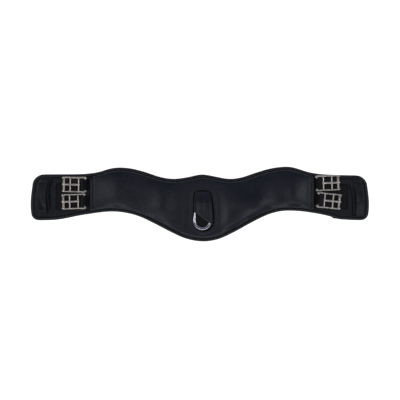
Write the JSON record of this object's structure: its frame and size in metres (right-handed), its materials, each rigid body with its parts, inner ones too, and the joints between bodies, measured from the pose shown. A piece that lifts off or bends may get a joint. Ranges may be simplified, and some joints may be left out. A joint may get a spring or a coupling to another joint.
{
  "type": "saddle girth",
  "caption": "Short contoured saddle girth in padded black leather, with elastic-mounted roller buckles, billet keepers and a central D-ring.",
  "frame": {"origin": "centre of the bounding box's bottom, on the plane of the lining's skin side", "axes": "+X along the girth, +Y across it away from the belly, +Z out of the outer face"},
  "size_m": [0.7252, 0.1599, 0.0163],
  "materials": {
    "face_leather": "smooth black leather, satin",
    "lining_leather": "soft black leather, matt",
    "binding_leather": "rolled black leather, satin",
    "padding_foam": "closed-cell foam and felt",
    "webbing": "woven nylon webbing",
    "elastic": "ribbed woven elastic",
    "buckle_steel": "satin stainless steel",
    "ring_steel": "polished"
  },
  "bodies": {
    "body": {"body_lining": "lining_leather", "body_padding": "padding_foam", "core_webbing": "webbing", "body_face": "face_leather", "body_binding_upper": "binding_leather", "body_binding_lower": "binding_leather", "window_piping": "binding_leather", "recess_panel": "lining_leather", "d_ring_tab": "face_leather", "left_end_band": "binding_leather", "right_end_band": "binding_leather"},
    "d_ring": {"d_ring": "ring_steel"},
    "window_flap": {"window_flap": "face_leather"},
    "left_end": {"left_guard_lining": "lining_leather", "left_guard_padding": "padding_foam", "left_guard_face": "face_leather", "left_guard_inset": "face_leather", "left_guard_binding": "binding_leather", "left_keeper": "binding_leather"},
    "right_end": {"right_guard_lining": "lining_leather", "right_guard_padding": "padding_foam", "right_guard_face": "face_leather", "right_guard_inset": "face_leather", "right_guard_binding": "binding_leather", "right_keeper": "binding_leather"},
    "left_upper_elastic": {"left_upper_elastic": "elastic"},
    "left_upper_frame": {"left_upper_buckle_frame": "buckle_steel"},
    "left_upper_roller": {"left_upper_roller": "buckle_steel"},
    "left_upper_tongue": {"left_upper_tongue": "buckle_steel"},
    "left_lower_elastic": {"left_lower_elastic": "elastic"},
    "left_lower_frame": {"left_lower_buckle_frame": "buckle_steel"},
    "left_lower_roller": {"left_lower_roller": "buckle_steel"},
    "left_lower_tongue": {"left_lower_tongue": "buckle_steel"},
    "right_upper_elastic": {"right_upper_elastic": "elastic"},
    "right_upper_frame": {"right_upper_buckle_frame": "buckle_steel"},
    "right_upper_roller": {"right_upper_roller": "buckle_steel"},
    "right_upper_tongue": {"right_upper_tongue": "buckle_steel"},
    "right_lower_elastic": {"right_lower_elastic": "elastic"},
    "right_lower_frame": {"right_lower_buckle_frame": "buckle_steel"},
    "right_lower_roller": {"right_lower_roller": "buckle_steel"},
    "right_lower_tongue": {"right_lower_tongue": "buckle_steel"}
  },
  "joints": [
    {"name": "d_ring_swing", "type": "hinge", "parent": "body", "child": "d_ring", "pos_m": [0.00727, -0.01458, 0.011], "axis": [-0.9962, 0.0872, 0], "range_deg": [0, 45]},
    {"name": "window_flap_lift", "type": "hinge", "parent": "body", "child": "window_flap", "pos_m": [0, 0.0266, 0.0115], "axis": [-1, 0, 0], "range_deg": [0, 22.5]},
    {"name": "left_end_fold", "type": "hinge", "parent": "body", "child": "left_end", "pos_m": [-0.2376, 0, 0.0069], "axis": [0, 1, 0], "range_deg": [0, 30]},
    {"name": "right_end_fold", "type": "hinge", "parent": "body", "child": "right_end", "pos_m": [0.2463, 0, 0.0069], "axis": [0, -1, 0], "range_deg": [0, 30]},
    {"name": "left_upper_stretch", "type": "slide", "parent": "left_end", "child": "left_upper_elastic", "axis": [-1, 0, 0], "range_m": [0, 0.02], "stiffness_N_per_m": 3000, "deforming": ["left_upper_elastic"]},
    {"name": "left_upper_lift", "type": "hinge", "parent": "left_upper_elastic", "child": "left_upper_frame", "pos_m": [-0.24691, 0.04141, 0.0104], "axis": [0.0175, 0.9998, 0], "range_deg": [0, 75]},
    {"name": "left_upper_roll", "type": "hinge", "parent": "left_upper_frame", "child": "left_upper_roller", "pos_m": [-0.2921, 0.0422, 0.0104], "axis": [0.0175, 0.9998, 0], "continuous": true},
    {"name": "left_upper_tongue_swing", "type": "hinge", "parent": "left_upper_frame", "child": "left_upper_tongue", "pos_m": [-0.2605, 0.04165, 0.0104], "axis": [0.0175, 0.9998, 0], "range_deg": [0, 100]},
    {"name": "left_lower_stretch", "type": "slide", "parent": "left_end", "child": "left_lower_elastic", "axis": [-1, 0, 0], "range_m": [0, 0.02], "stiffness_N_per_m": 3000, "deforming": ["left_lower_elastic"]},
    {"name": "left_lower_lift", "type": "hinge", "parent": "left_lower_elastic", "child": "left_lower_frame", "pos_m": [-0.24813, 0.00648, 0.0104], "axis": [-0.0349, 0.9994, 0], "range_deg": [0, 75]},
    {"name": "left_lower_roll", "type": "hinge", "parent": "left_lower_frame", "child": "left_lower_roller", "pos_m": [-0.2933, 0.0049, 0.0104], "axis": [-0.0349, 0.9994, 0], "continuous": true},
    {"name": "left_lower_tongue_swing", "type": "hinge", "parent": "left_lower_frame", "child": "left_lower_tongue", "pos_m": [-0.26172, 0.006, 0.0104], "axis": [-0.0349, 0.9994, 0], "range_deg": [0, 100]},
    {"name": "right_upper_stretch", "type": "slide", "parent": "right_end", "child": "right_upper_elastic", "axis": [1, 0, 0], "range_m": [0, 0.02], "stiffness_N_per_m": 3000, "deforming": ["right_upper_elastic"]},
    {"name": "right_upper_lift", "type": "hinge", "parent": "right_upper_elastic", "child": "right_upper_frame", "pos_m": [0.25184, 0.04433, 0.0104], "axis": [0.0436, -0.999, 0], "range_deg": [0, 75]},
    {"name": "right_upper_roll", "type": "hinge", "parent": "right_upper_frame", "child": "right_upper_roller", "pos_m": [0.297, 0.0463, 0.0104], "axis": [0.0436, -0.999, 0], "continuous": true},
    {"name": "right_upper_tongue_swing", "type": "hinge", "parent": "right_upper_frame", "child": "right_upper_tongue", "pos_m": [0.26543, 0.04492, 0.0104], "axis": [0.0436, -0.999, 0], "range_deg": [0, 100]},
    {"name": "right_lower_stretch", "type": "slide", "parent": "right_end", "child": "right_lower_elastic", "axis": [1, 0, 0], "range_m": [0, 0.02], "stiffness_N_per_m": 3000, "deforming": ["right_lower_elastic"]},
    {"name": "right_lower_lift", "type": "hinge", "parent": "right_lower_elastic", "child": "right_lower_frame", "pos_m": [0.25455, 0.00962, 0.0104], "axis": [-0.1045, -0.9945, 0], "range_deg": [0, 75]},
    {"name": "right_lower_roll", "type": "hinge", "parent": "right_lower_frame", "child": "right_lower_roller", "pos_m": [0.2995, 0.0049, 0.0104], "axis": [-0.1045, -0.9945, 0], "continuous": true},
    {"name": "right_lower_tongue_swing", "type": "hinge", "parent": "right_lower_frame", "child": "right_lower_tongue", "pos_m": [0.26807, 0.0082, 0.0104], "axis": [-0.1045, -0.9945, 0], "range_deg": [0, 100]}
  ],
  "couplings": [
    {"joint": "window_flap_lift", "follows": "d_ring_swing", "ratio": 0.5}
  ]
}
